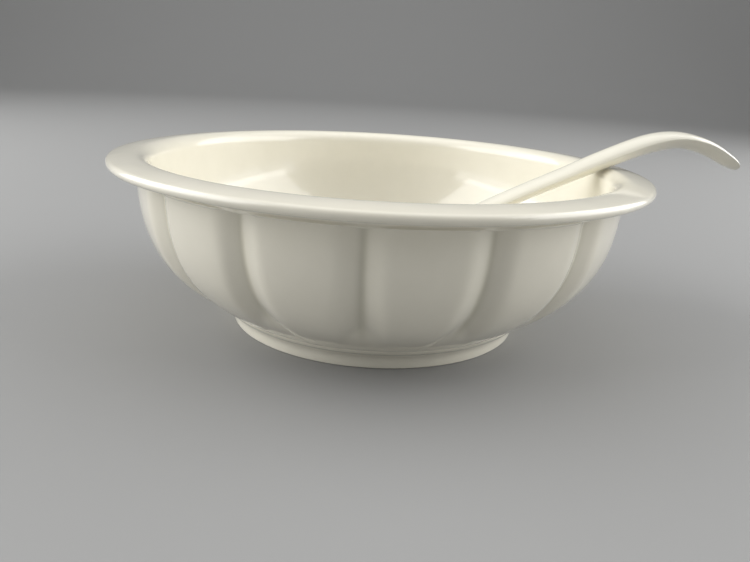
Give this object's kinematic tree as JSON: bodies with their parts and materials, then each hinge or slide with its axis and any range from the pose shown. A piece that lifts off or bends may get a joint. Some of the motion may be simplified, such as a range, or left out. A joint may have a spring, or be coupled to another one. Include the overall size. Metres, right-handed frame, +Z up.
{
  "type": "soup bowl with ladle",
  "caption": "Large fluted porcelain soup bowl with an out-turned rim and foot ring, and a one-piece porcelain ladle resting in it that lifts out.",
  "frame": {"origin": "on the table under the middle of the whole object's box, 23.7 mm from the bowl's own axis towards the ladle's tip", "axes": "+Z up from the table, +X along the ladle from its scoop to the tip of its handle"},
  "size_m": [0.2774, 0.23, 0.091],
  "materials": {
    "bowl_glaze": "gloss",
    "ladle_glaze": "gloss"
  },
  "bodies": {
    "bowl": {"bowl": "bowl_glaze"},
    "ladle": {"ladle": "ladle_glaze"}
  },
  "joints": [
    {"name": "ladle_lift", "type": "slide", "parent": "bowl", "child": "ladle", "axis": [0, 0, 1], "range_m": [0, 0.12]}
  ]
}
